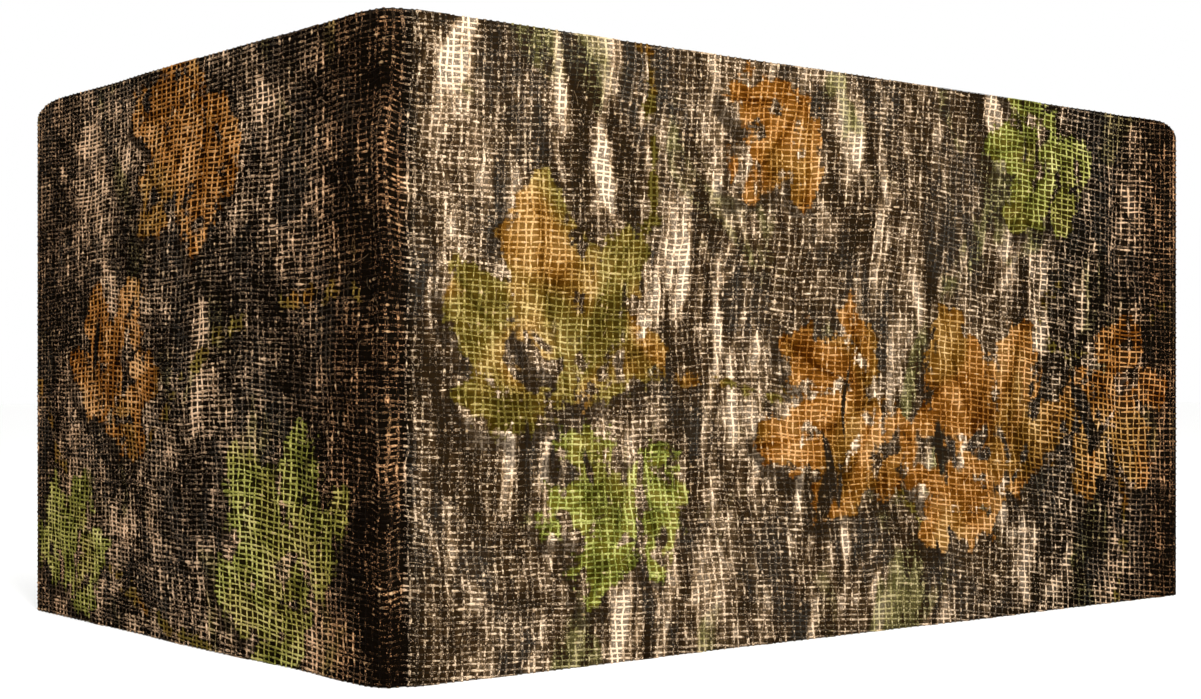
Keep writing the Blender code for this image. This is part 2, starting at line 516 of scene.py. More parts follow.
def tube(along, up, lift, width, thickness, strips):
    """One closed yarn through these places, lifted outwards by "lift" at each of them."""
    count = len(along)
    normal = facing(along, up)
    line = place(along, up) + lift[:, None] * normal
    ahead = unit(np.gradient(line, axis=0))
    across = unit(np.cross(ahead, normal))
    outward = np.cross(across, ahead)
    points, flank, side = tube_rings(line, across, outward, width, thickness, SIDES)
    points[..., 2] = np.clip(points[..., 2], 0, top_at(along)[:, None])
    start_cap = np.arange(SIDES)
    end_cap = (count - 1) * SIDES + start_cap[::-1]
    run = np.concatenate([[0], np.cumsum(np.linalg.norm(np.diff(line, axis=0), axis=1))])

    luck = RANDOM.random()
    crown = np.abs(lift) > CROWN_SHARE * np.abs(lift).max()
    wear = RANDOM.random(count) ** WEAR_POWER * np.where(crown, 1.0, WEAR_BESIDE_CROWNS)
    cloth = [np.repeat(along, SIDES), np.repeat(up, SIDES), np.tile(side, count)]
    thread = [np.repeat(run, SIDES), np.tile(flank, count), np.full(count * SIDES, luck)]
    return Shape(
        points=points.reshape(-1, 3),
        faces=np.vstack([tube_walls(count, SIDES), start_cap, end_cap]),
        cloth=np.column_stack(cloth),
        thread=np.column_stack(thread),
        ink=np.repeat(wear, SIDES),
        uv=yarn_uv(run, strips),
    )


def with_middles(places):
    """The places with one more half-way between each two."""
    mixed = np.empty(2 * len(places) - 1)
    mixed[0::2] = places
    mixed[1::2] = (places[:-1] + places[1:]) / 2
    return mixed


def over_and_under(crossings, parity):
    """The places of a yarn's crossings and middles, with its lift there: 1 over, -1 under."""
    places = with_middles(crossings)
    lift = np.zeros(len(places))
    lift[0::2] = np.where(np.arange(len(crossings)) % 2 == parity, 1.0, -1.0)
    return places, lift


def trimmed(along, up, lift, margin):
    """The part of a yarn that is on the cloth, cut where it crosses the cloth's outline."""
    over_edge = np.maximum(-up, up - top_at(along))
    past_end = np.maximum(LEFT_END + margin - along, along - RIGHT_END + margin)
    beyond = np.maximum(over_edge, past_end)
    kept = np.flatnonzero(beyond < 0)
    rows = np.column_stack([along, up, lift])
    parts = [rows[kept[0] : kept[-1] + 1]]
    for inner, outer in ((kept[0], kept[0] - 1), (kept[-1], kept[-1] + 1)):
        if 0 <= outer < len(rows):
            share = beyond[inner] / (beyond[inner] - beyond[outer])
            cut = (rows[inner] + share * (rows[outer] - rows[inner]))[None]
            parts = [cut, *parts] if outer < inner else [*parts, cut]
    return np.vstack(parts).T


def spun(along, up, lift, plain_width, strips):
    """A yarn through these places, thick and thin along its length."""
    factor = slubs(len(along))
    thickness = YARN_THICKNESS * factor**0.5
    return tube(along, up, lift * WEAVE_DEPTH, plain_width * factor, thickness, strips)


def weft_yarn(index, up, warps, strips):
    along, lift = over_and_under(warps, index % 2)
    up = up + YARN_WANDER * WEFT_PITCH * drift(len(along), WEFT_WANDER_STEPS)
    along, up = laid(along, up)
    along, up, lift = trimmed(along, up, lift, RANDOM.uniform(0.0, FRAY))
    return spun(along, up, lift, WEFT_WIDTH, strips)


def warp_yarn(index, along, wefts, strips):
    up, lift = over_and_under(wefts, (index + 1) % 2)
    along = along + YARN_WANDER * CLOSEST_WARPS * drift(len(up), WARP_WANDER_STEPS)
    along, up = laid(along, up)
    along, up, lift = trimmed(along, up, lift, 0.0)
    return spun(along, up, lift, WARP_WIDTH, strips)


# ---------------- mesh making


def set_attribute(mesh, name, kind, values):
    attribute = mesh.attributes.new(name, kind, "POINT")
    field = "value" if kind == "FLOAT" else "vector"
    attribute.data.foreach_set(field, np.ascontiguousarray(values, np.float32).ravel())


def mesh_piece(name, shape, material):
    """A piece of quads with the fields that its material reads and its own bake map."""
    faces = shape.faces
    mesh = bpy.data.meshes.new(name)
    mesh.vertices.add(len(shape.points))
    mesh.vertices.foreach_set("co", shape.points.astype(np.float32).ravel())
    mesh.loops.add(faces.size)
    mesh.loops.foreach_set("vertex_index", faces.astype(np.int32).ravel())
    mesh.polygons.add(len(faces))
    mesh.polygons.foreach_set("loop_start", np.arange(0, faces.size, faces.shape[1]))
    mesh.update(calc_edges=True)
    mesh.validate()
    mesh.shade_smooth()
    along, up = shape.cloth[:, 0], shape.cloth[:, 1]
    set_attribute(mesh, "cloth", "FLOAT_VECTOR", shape.cloth)
    set_attribute(mesh, "thread", "FLOAT_VECTOR", shape.thread)
    set_attribute(mesh, "ink", "FLOAT", shape.ink)
    # Painted shade and light along the cloth.
    set_attribute(mesh, "wash", "FLOAT", shade_wash_at(along))
    for field, values in print_fields(along, up).items():
        set_attribute(mesh, field, "FLOAT_VECTOR", values)
    layer = mesh.uv_layers.new(name="OFBake")
    layer.uv.foreach_set("vector", shape.uv.astype(np.float32).ravel())
    mesh.materials.append(material)
    piece = bpy.data.objects.new(name, mesh)
    bpy.context.scene.collection.objects.link(piece)
    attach(piece, BODY)
    return piece


def joined(shapes):
    """All the shapes as one, with the faces renumbered."""
    starts = np.cumsum([0] + [len(shape.points) for shape in shapes[:-1]])
    faces = np.vstack([shape.faces + start for shape, start in zip(shapes, starts)])
    stacked = {
        field: np.concatenate([getattr(shape, field) for shape in shapes])
        for field in Shape._fields
        if field != "faces"
    }
    return Shape(faces=faces, **stacked)


# The yarns that run one way: where they and the yarns that they cross stand, the span that they
# may stand in, their plain length, how much longer one may be, and the strips that each takes.
Family = namedtuple("Family", "name yarn_maker places crossings span length slack strips")


def yarn_pieces(family, material):
    """The yarns of a family that are on the cloth, joined as PIECES_EACH_WAY pieces."""
    low, high = family.span
    on_cloth = (family.places > low + EDGE_CLEARANCE) & (family.places < high - EDGE_CLEARANCE)
    groups = np.array_split(np.flatnonzero(on_cloth), PIECES_EACH_WAY)
    strip_length = family.length * family.slack / family.strips
    made = []
    for group, members in enumerate(groups, start=1):
        yarns = []
        for number, index in enumerate(members):
            strips = Strips(number, family.strips, strip_length)
            here = family.places[index]
            yarns.append(family.yarn_maker(index, here, family.crossings, strips))
        shape = joined(yarns)
        shape = shape._replace(uv=shape.uv * [1, 1 / (len(members) * family.strips)])
        made.append(mesh_piece(f"{family.name}_{group}", shape, material))
    return made


# Loose fibres that stand off the yarns on both sides, each with a square cell in the bake map.
# A pair holds the least and the greatest of a random size.
FUZZ_CELLS = 66
FUZZ_POINTS = 4
FUZZ_SIDES = 3
FUZZ_THICKNESS = 0.00012
FUZZ_LENGTHS = (0.0025, 0.0080)
FUZZ_CURL = 0.9
FUZZ_LIFT = 0.00065
FUZZ_RISES = (0.0001, 0.0011)
FUZZ_END_INSET = 0.010
FUZZ_FOOT_SHARES = (0.004, 0.995)
FUZZ_FOOT_INSET = 0.012
FUZZ_EDGE_INSET = 0.0008
FUZZ_RUN = 0.005


def fuzz_routes(count):
    """The fibres' places and lifts, one for each of their points, and each fibre's side."""
    t = np.linspace(0, 1, FUZZ_POINTS)
    step = RANDOM.uniform(*FUZZ_LENGTHS, (count, 1)) / (FUZZ_POINTS - 1)
    heading = RANDOM.uniform(0, 2 * np.pi, (count, 1))
    turn = heading + RANDOM.normal(0, FUZZ_CURL, (count, 1)) * t
    foot = RANDOM.uniform(LEFT_END + FUZZ_END_INSET, RIGHT_END - FUZZ_END_INSET, (count, 1))
    foot_up = RANDOM.uniform(*FUZZ_FOOT_SHARES, (count, 1)) * (HEIGHT - FUZZ_FOOT_INSET)
    along = foot + np.cumsum(np.cos(turn) * step, axis=1)
    up = foot_up + np.cumsum(np.sin(turn) * step, axis=1)
    up = np.clip(up, FUZZ_EDGE_INSET, HEIGHT - FUZZ_EDGE_INSET)
    rise = RANDOM.uniform(*FUZZ_RISES, (count, 1))
    side = RANDOM.choice([1.0, -1.0], (count, 1))
    lift = side * (FUZZ_LIFT + rise * np.sin(np.pi * t))
    return along.ravel(), up.ravel(), lift.ravel(), side.ravel()


def fuzz_uv(count):
    """Map corners of the fibres' walls, a square cell for each fibre."""
    steps = FUZZ_POINTS - 1
    segment = np.repeat(np.arange(steps), FUZZ_SIDES)
    around = np.tile(np.arange(FUZZ_SIDES), steps)
    cell = wall_uv(
        segment / steps, (segment + 1) / steps, around / FUZZ_SIDES, (around + 1) / FUZZ_SIDES
    )
    fibre = np.arange(count)
    corner = np.column_stack([fibre % FUZZ_CELLS, fibre // FUZZ_CELLS])
    return ((corner[:, None] + cell) / FUZZ_CELLS).reshape(-1, 2)


def fuzz_piece(material):
    """All the loose fibres as one piece of open three-sided tubes."""
    count = FUZZ_CELLS**2
    per_fibre = FUZZ_POINTS * FUZZ_SIDES
    along, up, lift, side = fuzz_routes(count)
    normal = facing(along, up)
    line = place(along, up) + lift[:, None] * normal
    ahead = np.gradient(line.reshape(count, FUZZ_POINTS, 3), axis=1).reshape(-1, 3)
    across = unit(np.cross(ahead, normal))
    width = np.full(len(line), FUZZ_THICKNESS)
    points = tube_rings(line, across, normal, width, width, FUZZ_SIDES)[0]
    starts = np.arange(count)[:, None, None] * per_fibre
    faces = tube_walls(FUZZ_POINTS, FUZZ_SIDES)[None] + starts

    luck = RANDOM.random(count)
    wear = RANDOM.random(count)
    run = np.tile(np.repeat(np.linspace(0, FUZZ_RUN, FUZZ_POINTS), FUZZ_SIDES), count)
    cloth = [np.repeat(along, FUZZ_SIDES), np.repeat(up, FUZZ_SIDES), np.repeat(side, per_fibre)]
    thread = [run, np.zeros_like(run), np.repeat(luck, per_fibre)]
    shape = Shape(
        points=points.reshape(-1, 3),
        faces=faces.reshape(-1, 4),
        cloth=np.column_stack(cloth),
        thread=np.column_stack(thread),
        ink=np.repeat(wear, per_fibre),
        uv=fuzz_uv(count),
    )
    return mesh_piece("loose_fibres", shape, material)


# A thin dark sheet of painted shade in the middle of the cloth: it stands for the shade deep in the
# weave and shows between the yarns.
SHADE_SHEET_THICKNESS = 0.0002
SHADE_SHEET_STEP_ALONG = 0.0035
SHADE_SHEET_STEP_UP = 0.0075
SHADE_SHEET_INSET = 0.0003
SHADE_SHEET_ROUNDING_POINTS = 9
SHADE_SHEET_CLOSEST = 0.001


def shade_sheet_places():
    """Where the shade sheet's columns stand, with closer ones where the outline is rounded."""
    left, right = LEFT_END + SHADE_SHEET_INSET, RIGHT_END - SHADE_SHEET_INSET
    even = np.linspace(left, right, round((right - left) / SHADE_SHEET_STEP_ALONG))
    turns = np.linspace(0, np.pi / 2, SHADE_SHEET_ROUNDING_POINTS)
    near_left = left + LEFT_ROUNDING.reach * (1 - np.cos(turns))
    near_right = right - RIGHT_ROUNDING.reach * (1 - np.cos(turns))
    plain = even > near_left[-1] + SHADE_SHEET_CLOSEST
    plain &= even < near_right[-1] - SHADE_SHEET_CLOSEST
    return np.concatenate([near_left, even[plain], near_right[::-1]])


def shade_sheet_piece(material):
    """The thin closed sheet of painted shade in the middle of the cloth that shows dark between the
    yarns.
    """
    columns = shade_sheet_places()
    rows = np.linspace(0, 1, round(HEIGHT / SHADE_SHEET_STEP_UP))
    wide, tall = len(columns), len(rows)
    along = np.repeat(columns, tall)
    up = SHADE_SHEET_INSET + np.tile(rows, wide) * (top_at(along) - 2 * SHADE_SHEET_INSET)
    middle = place(along, up)
    half = facing(along, up) * SHADE_SHEET_THICKNESS / 2
    under = wide * tall
    grid = np.arange(under).reshape(wide, tall)
    outer = np.stack([grid[:-1, :-1], grid[1:, :-1], grid[1:, 1:], grid[:-1, 1:]], axis=-1)
    outer = outer.reshape(-1, 4)
    inner = outer[:, ::-1] + under
    rim = np.concatenate([grid[:-1, 0], grid[-1, :-1], grid[:0:-1, -1], grid[0, :0:-1]])
    after = np.roll(rim, -1)
    faces = np.vstack([outer, inner, np.column_stack([rim, rim + under, after + under, after])])
    cloth = [np.tile(along, 2), np.tile(up, 2), np.repeat([1.0, -1.0], under)]
    spread = np.column_stack([(along - LEFT_END) / (RIGHT_END - LEFT_END), up / HEIGHT])
    shape = Shape(
        points=np.vstack([middle + half, middle - half]),
        faces=faces,
        cloth=np.column_stack(cloth),
        thread=np.zeros((2 * under, 3)),
        ink=np.ones(2 * under),
        uv=spread[faces.ravel() % under],
    )
    piece = mesh_piece("painted_shade_sheet", shape, material)
    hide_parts(NODE)
    return piece


# ---------------- nodes in short


class Graph:
    """Short names for the nodes that the materials are built from."""

    def __init__(self, name):
        self.material = bpy.data.materials.new(name)
        self.material.use_nodes = True
        self.nodes = self.material.node_tree.nodes
        self.links = self.material.node_tree.links
        self.shader = self.nodes["Principled BSDF"]

    def feed(self, socket, value):
        if isinstance(value, bpy.types.NodeSocket):
            self.links.new(value, socket)
        else:
            socket.default_value = value

    def attribute(self, name, output="Vector"):
        node = self.nodes.new("ShaderNodeAttribute")
        node.attribute_name = name
        return node.outputs[output]

    def parts(self, vector):
        node = self.nodes.new("ShaderNodeSeparateXYZ")
        self.feed(node.inputs[0], vector)
        return node.outputs[0], node.outputs[1], node.outputs[2]

    def joined(self, x, y):
        node = self.nodes.new("ShaderNodeCombineXYZ")
        self.feed(node.inputs[0], x)
        self.feed(node.inputs[1], y)
        return node.outputs[0]

    def grey(self, value):
        node = self.nodes.new("ShaderNodeCombineColor")
        for socket in node.inputs[:3]:
            self.feed(socket, value)
        return node.outputs[0]

    def math(self, operation, *values):
        node = self.nodes.new("ShaderNodeMath")
        node.operation = operation
        for socket, value in zip(node.inputs, values):
            self.feed(socket, value)
        return node.outputs[0]

    def plus(self, first, second):
        return self.math("ADD", first, second)

    def times(self, first, second):
        return self.math("MULTIPLY", first, second)

    def shifted(self, value, by, share):
        """The value with this share of "by" added."""
        return self.math("MULTIPLY_ADD", by, share, value)

    def swing(self, value, gain):
        """A noise's swing about its middle, times this gain."""
        return self.times(self.math("SUBTRACT", value, 0.5), gain)

    def between(self, share, shares):
        """The first of the two shares where "share" is 0, and the second where it is 1."""
        at_0, at_1 = shares
        return self.math("MULTIPLY_ADD", share, at_1 - at_0, at_0)

    def step(self, value, limits):
        """0 up to the first limit and 1 from the second one, smooth between them."""
        node = self.nodes.new("ShaderNodeMapRange")
        node.interpolation_type = "SMOOTHSTEP"
        self.feed(node.inputs["Value"], value)
        node.inputs["From Min"].default_value = limits[0]
        node.inputs["From Max"].default_value = limits[1]
        return node.outputs["Result"]

    def noise(self, kind, vector):
        """A noise of this kind over the places that the vector holds."""
        scaled = self.nodes.new("ShaderNodeVectorMath")
        scaled.operation = "MULTIPLY"
        self.feed(scaled.inputs[0], vector)
        scaled.inputs[1].default_value = (kind.per_along, kind.per_up, kind.per_side)
        node = self.nodes.new("ShaderNodeTexNoise")
        self.feed(node.inputs["Vector"], scaled.outputs[0])
        node.inputs["Scale"].default_value = 1.0
        node.inputs["Detail"].default_value = kind.detail
        node.inputs["Roughness"].default_value = kind.roughness
        node.inputs["Distortion"].default_value = kind.distortion
        return node.outputs["Fac"]

    def patches(self, kind, vector):
        """1 in the patches where the noise is past its limits, 0 short of them."""
        return self.step(self.noise(kind.noise, vector), kind.limits)

    def ramp(self, value, stops):
        node = self.nodes.new("ShaderNodeValToRGB")
        ramp = node.color_ramp
        while len(ramp.elements) < len(stops):
            ramp.elements.new(0.5)
        for element, stop in zip(ramp.elements, stops):
            element.position = stop.tone
            element.color = linear(stop.colour)
        self.feed(node.inputs[0], value)
        return node.outputs["Color"]

    def mix(self, share, first, second, blend="MIX"):
        node = self.nodes.new("ShaderNodeMix")
        node.data_type = "RGBA"
        node.blend_type = blend
        self.feed(node.inputs[0], share)
        self.feed(node.inputs[6], first)
        self.feed(node.inputs[7], second)
        return node.outputs[2]

    def shade(self, values):
        """Give the shader these values, each a number, a colour or another node's output."""
        for name, value in values.items():
            self.feed(self.shader.inputs[name], value)

    def bump(self, height, distance, strength):
        node = self.nodes.new("ShaderNodeBump")
        node.inputs["Strength"].default_value = strength
        node.inputs["Distance"].default_value = distance
        self.feed(node.inputs["Height"], height)
        self.links.new(node.outputs["Normal"], self.shader.inputs["Normal"])


def linear(hex_colour):
    """A colour written as RRGGBB, as linear red, green, blue and alpha."""
    parts = [int(hex_colour[i : i + 2], 16) / 255 for i in (0, 2, 4)]
    return [p / 12.92 if p <= 0.04045 else ((p + 0.055) / 1.055) ** 2.4 for p in parts] + [1.0]


# ---------------- the print

# Tones run from about 0.3 for black to about 0.75 for cream. LIMITS or EDGE in a name stands for
# where a step starts and where it is full, and SHARES for what it gives there.
Stop = namedtuple("Stop", "tone colour")
BARK_STOPS = (
    Stop(0.34, "19120a"),
    Stop(0.43, "2b1e11"),
    Stop(0.50, "44311d"),
    Stop(0.57, "5f4b34"),
    Stop(0.64, "977a57"),
    Stop(0.74, "e5cbac"),
)
INK_BLACK = "19120a"
# The black of painted shade, where the print is harsh.
SHADE_BLACK = "040302"

# Cloudy noises, with their cells for each metre along and up the cloth and from side to side.
# The yarn's fibres lie on its thread instead, along its run, flank and luck. Patches are where
# a noise is past its limits.
NOISE_COLUMNS = "per_along per_up detail roughness distortion per_side"
Noise = namedtuple("Noise", NOISE_COLUMNS, defaults=(2.0, 0.5, 0.0, 0))
Patches = namedtuple("Patches", "limits noise")

# Where the painted shade along the cloth is dark the print is harsh: its blacks are deeper, as
# painted shade, and its specks are stronger, as painted highlights of raking light. Where it is
# darkest, the colours are also darker and warmer, as painted shade, less so in leaves.
HARSH_LIMITS = (0.01, -0.10)
SHADED_LIMITS = (0.00, -0.28)
SHADED_TINT = (0.72, 0.51, 0.36, 1.0)
SHADED_LEAF_SHARES = (1.0, 0.65)

# The bark's upright ridges. They sway, they are deep in patches, and they are flatter where the
# painted shade along the cloth is dark. A ridge is lit where it is higher than the place
# FLANK_REACH further along.
RIDGES = Noise(42, 12, 2.5, 0.55, 0.6)
RIDGE_GAIN = 1.10
SWAY = Noise(9, 6)
SWAY_REACH = 0.070
FLANK_REACH = 0.0062
FLANK_GAIN = 0.85
DEEP_PATCHES = Patches((0.38, 0.60), Noise(11, 9, 1.0))
DEEP_PATCH_SHARES = (0.30, 1.25)
FLAT_SHADE_WASH_LIMITS = (-0.11, 0.0)
FLAT_SHADE_WASH_SHARES = (0.58, 1.0)
MIDDLE_TONE = 0.5

# Soft mottles lie all over the bark, and blotches with firmer edges where the print is harsh.
# Each shifts the tone by half its "swing" either way.
Mottle = namedtuple("Mottle", "swing noise")
MOTTLES = (
    Mottle(0.24, Noise(8, 7)),
    Mottle(0.30, Noise(26, 20, 2.0, 0.6)),
)
Blotch = namedtuple("Blotch", "swing patches")
BLOTCHES = (
    Blotch(0.32, Patches((0.42, 0.58), Noise(15, 13, 3.0, 0.6, 0.6))),
    Blotch(0.24, Patches((0.40, 0.60), Noise(38, 30, 2.5, 0.6, 0.4))),
)

# Patches of another colour where the bark's tone allows: slate in dark parts, moss in pale ones.
Tinge = namedtuple("Tinge", "colour share tone_limits patches")
TINGES = (
    Tinge("3b3a35", 0.40, (0.62, 0.46), Patches((0.46, 0.62), Noise(22, 15))),
    Tinge("7d8040", 0.55, (0.44, 0.56), Patches((0.58, 0.66), Noise(16, 10, 3.0, 0.6, 0.8))),
)
# Painted shade: where the print is harsh, the bark's darks turn deeper black.
SHADE_BLACK_LIMITS = (0.55, 0.40)
SHADE_BLACK_SHARE = 0.85

# Small flecks all over the bark: fewer in its creams, and stronger where the print is harsh, as
# painted highlights of raking light.
FLECKS = Noise(150, 70, 3.0, 0.65, 0.5)
FLECK_GAIN = 0.85
CREAM_LIMITS = (0.57, 0.69)
CREAM_FLECK_SHARES = (1.0, 0.40)
HARSH_FLECK_SHARES = (1.0, 1.50)

# Leaf colours from dark to pale. In patches a leaf turns to another leaf's colour.
LeafKind = namedtuple("LeafKind", "name dark middle pale turns_to turned_share")
LEAF_KINDS = (
    LeafKind("lime", "4a4016", "76672d", "bca76d", "ochre", 0.70),
    LeafKind("green", "484a19", "8f9243", "c2be7a", "lime", 0.55),
    LeafKind("ochre", "5a3208", "a26c2c", "d2a673", "lime", 0.40),
)
LEAF_TONES = (0.20, 0.50, 0.85)
TURNED = Patches((0.48, 0.66), Noise(19, 15, 2.0, 0.5, 0.5))

# Leaves are whole but for torn holes, and none show where the bark is darkest.
WHOLE = Patches((0.37, 0.41), Noise(30, 24, 3.0, 0.62, 0.5))
DARKEST_BARK_EDGE = (0.24, 0.32)

# Leaf outlines and shadows are ragged by these reaches, in metres.
COARSE_RAG = Noise(85, 70)
COARSE_RAG_REACH = 0.032
FINE_RAG = Noise(330, 330, 2.0, 0.7)
FINE_RAG_REACH = 0.012
LEAF_EDGE = (-0.0014, 0.0018)
SHADOW_EDGE = (-0.0035, 0.0015)
SHADOW_SHARE = 0.80

# Shifts of a leaf's tone.
LEAF_MIDDLE_TONE = 0.47
LEAF_MOTTLES = (
    Mottle(1.60, Noise(34, 30, 3.5, 0.6, 0.4)),
    Mottle(0.70, Noise(17, 14, 2.0, 0.5, 0.4)),
)
Mark = namedtuple("Mark", "shift limits")
LIT_SIDE = Mark(0.10, (-0.006, 0.008))
VEIN = Mark(-0.06, (0.0016, 0.0002))
MIDRIB = Mark(-0.18, (0.0026, 0.0008))
VEIN_SLANT = 0.9

# What the print reads at each place, with "harsh" at 1 where the painted shade along the cloth is
# dark.
Fields = namedtuple("Fields", "cloth leaves run side shadow wash harsh")


def read_fields(g):
    wash = g.attribute("wash", "Fac")
    leaves = dict(zip(LEAF_COLOURS, g.parts(g.attribute("leaves"))))
    run, side, shadow = g.parts(g.attribute("veins"))
    return Fields(g.attribute("cloth"), leaves, run, side, shadow, wash, g.step(wash, HARSH_LIMITS))


def painted_shade_tinted(g, fields, colour, cover):
    """Painted shade: darker and warmer where the painted shade along the cloth is darkest, less so
    in the leaves than in the bark.
    """
    shade = g.step(fields.wash, SHADED_LIMITS)
    shade = g.times(shade, g.between(cover, SHADED_LEAF_SHARES))
    return g.mix(shade, colour, SHADED_TINT, "MULTIPLY")


def mottled(g, cloth, tone, mottles):
    """The tone shifted by each of these mottles."""
    for mottle in mottles:
        tone = g.plus(tone, g.swing(g.noise(mottle.noise, cloth), mottle.swing))
    return tone


def bark_ridges(g, cloth):
    """How far each place is raised or sunk by the ridges, with a lit and a shaded flank."""
    along, up, _ = g.parts(cloth)
    swayed = g.plus(along, g.swing(g.noise(SWAY, cloth), SWAY_REACH))
    ridge = g.noise(RIDGES, g.joined(swayed, up))
    beside = g.noise(RIDGES, g.joined(g.plus(swayed, FLANK_REACH), up))
    flank = g.times(g.math("SUBTRACT", ridge, beside), FLANK_GAIN)
    return g.plus(g.swing(ridge, RIDGE_GAIN), flank)


def bark_tones(g, fields):
    """How pale the bark is, first in all and then without the painted shade along the cloth and its
    blotches.
    """
    depth = g.between(g.patches(DEEP_PATCHES, fields.cloth), DEEP_PATCH_SHARES)
    depth = g.times(depth, g.between(g.step(fields.wash, FLAT_SHADE_WASH_LIMITS), FLAT_SHADE_WASH_SHARES))
    tone = g.math("MULTIPLY_ADD", bark_ridges(g, fields.cloth), depth, MIDDLE_TONE)
    tone = mottled(g, fields.cloth, tone, MOTTLES)
    blotches = 0.0
    for blotch in BLOTCHES:
        inside = g.patches(blotch.patches, fields.cloth)
        blotches = g.plus(blotches, g.swing(inside, blotch.swing))
    # The painted shade along the cloth shifts the tone.
    shade_washed = g.math("MULTIPLY_ADD", blotches, fields.harsh, fields.wash)
    return g.plus(tone, shade_washed), tone


def bark_colour(g, fields, tone):
    colour = g.ramp(tone, BARK_STOPS)
    # Painted shade: deeper black where the print is harsh.
    shade_blackened = g.times(g.step(tone, SHADE_BLACK_LIMITS), fields.harsh)
    colour = g.mix(g.times(shade_blackened, SHADE_BLACK_SHARE), colour, linear(SHADE_BLACK))
    for tinge in TINGES:
        inside = g.patches(tinge.patches, fields.cloth)
        inside = g.times(inside, g.step(tone, tinge.tone_limits))
        colour = g.mix(g.times(inside, tinge.share), colour, linear(tinge.colour))
    return colour


def leaf_tone(g, fields, stray):
    """How pale a leaf is: blotched, lighter on one side of its midrib, with dark veins."""
    tone = mottled(g, fields.cloth, g.plus(stray, LEAF_MIDDLE_TONE), LEAF_MOTTLES)
    off_midrib = g.math("ABSOLUTE", fields.side)
    slant = g.shifted(fields.run, off_midrib, -VEIN_SLANT)
    off_vein = g.math("PINGPONG", slant, VEIN_GAP / 2)
    for mark, value in ((LIT_SIDE, fields.side), (VEIN, off_vein), (MIDRIB, off_midrib)):
        tone = g.shifted(tone, g.step(value, mark.limits), mark.shift)
    return tone


def leaf_ramp(g, kind, tone):
    colours = (kind.dark, kind.middle, kind.pale)
    return g.ramp(tone, [Stop(*row) for row in zip(LEAF_TONES, colours)])


def print_colour(g, fields, stray):
    """The whole print, darkened by the painted shade along the cloth, and how far its leaves cover
    the bark at each place.

    "stray" is how much paler than its neighbours the place is, for want of ink and, on the yarns,
    from painted glints.
    """
    rag = g.plus(
        g.swing(g.noise(COARSE_RAG, fields.cloth), COARSE_RAG_REACH),
        g.swing(g.noise(FINE_RAG, fields.cloth), FINE_RAG_REACH),
    )
    bark, plain_bark = bark_tones(g, fields)
    flecks = g.plus(g.swing(g.noise(FLECKS, fields.cloth), FLECK_GAIN), stray)
    flecks = g.times(flecks, g.between(g.step(bark, CREAM_LIMITS), CREAM_FLECK_SHARES))
    # Painted highlights: stronger flecks where the print is harsh.
    flecks = g.times(flecks, g.between(fields.harsh, HARSH_FLECK_SHARES))
    colour = bark_colour(g, fields, g.plus(bark, flecks))
    shadow = g.step(g.plus(fields.shadow, rag), SHADOW_EDGE)
    colour = g.mix(g.times(shadow, SHADOW_SHARE), colour, linear(INK_BLACK))

    pale = leaf_tone(g, fields, stray)
    ramps = {kind.name: leaf_ramp(g, kind, pale) for kind in LEAF_KINDS}
    turned = g.patches(TURNED, fields.cloth)
    shown = g.times(g.patches(WHOLE, fields.cloth), g.step(plain_bark, DARKEST_BARK_EDGE))
    cover = 0.0
    for kind in LEAF_KINDS:
        share = g.times(turned, kind.turned_share)
        leaf_colour = g.mix(share, ramps[kind.name], ramps[kind.turns_to])
        here = g.times(g.step(g.plus(fields.leaves[kind.name], rag), LEAF_EDGE), shown)
        colour = g.mix(here, colour, leaf_colour)
        cover = g.math("MAXIMUM", cover, here)
    # Painted shade along the cloth.
    return painted_shade_tinted(g, fields, colour, cover), cover


# ---------------- materials

# How the fine specks, the yarn's luck, its wear and painted glints on the brightest specks make a
# place paler than its neighbours.
FINE = Noise(1050, 1050, 2.5, 0.85, 0.0, 3)
FINE_GAIN = 2.10
LUCK_GAIN = 0.06
WEAR_SHARE = 0.42
GLINT_SPECK_LIMITS = (0.58, 0.64)
GLINT_SPECK_SHARE = 0.16
STRAY_SHIFT = -0.080

# The bare jute shows where specks, wear and patches together are strong enough, and on the
# inner side of the cloth, which the ink has hardly reached.
FIBRES = Noise(900, 2.5, 3.0, 0.6, 0.0, 40)
JUTE_STOPS = (Stop(0.20, "4a341f"), Stop(0.50, "a68863"), Stop(0.80, "cbb18d"))
FIBRE_TONE_SHARE = 0.75
LUCK_TONE_SHARE = 0.30
WORN_PATCHES = Noise(30, 22, 2.5)
FINE_WEAR = 0.60
CROWN_WEAR = 0.70
PATCH_WEAR = 0.75
BARE_LIMITS = (1.02, 1.34)
BARE_SHARES = (0.72, 0.62)
INNER_SIDE_LIMITS = (-0.15, -0.75)
INNER_SIDE_SHARE = 0.45
# Painted shade between the fibres, as shares of the colour.
FIBRE_SHADE_SHARES = (0.64, 1.09)
YARN_ROUGHNESSES = (0.70, 0.95)

# The yarn's twist as a bump: a sine along the run, in radians a metre, slanted by the flank.
TWIST_RATE = 5200
TWIST_SLANT = 2.6
TWIST_SHARE = 0.5
YARN_BUMP = 0.00018
YARN_BUMP_STRENGTH = 0.6

# The sheet of painted shade between the yarns: the print darkened to the colours of shaded holes,
# with paler hairs.
HOLE_SHADE_BROWN = "191006"
HOLE_SHADE_SHARE = 0.87
LEAF_HOLE_SHADE_TINT = (0.21, 0.16, 0.07, 1.0)
SHADE_SHEET_HAIRS = Patches((0.52, 0.66), Noise(1300, 1000, 2.0, 0.8, 0.0, 5))
LEAF_HAIR_SHARES = (0.60, 0.15)
HARSH_SHADE_SHEET_SHARE = 0.85
SHADE_SHEET_FIBRES = Noise(900, 700, 3.0, 0.7)
SHADE_SHEET_ROUGHNESSES = (0.90, 1.00)
SHADE_SHEET_BUMP = 0.0002
SHADE_SHEET_BUMP_STRENGTH = 0.5


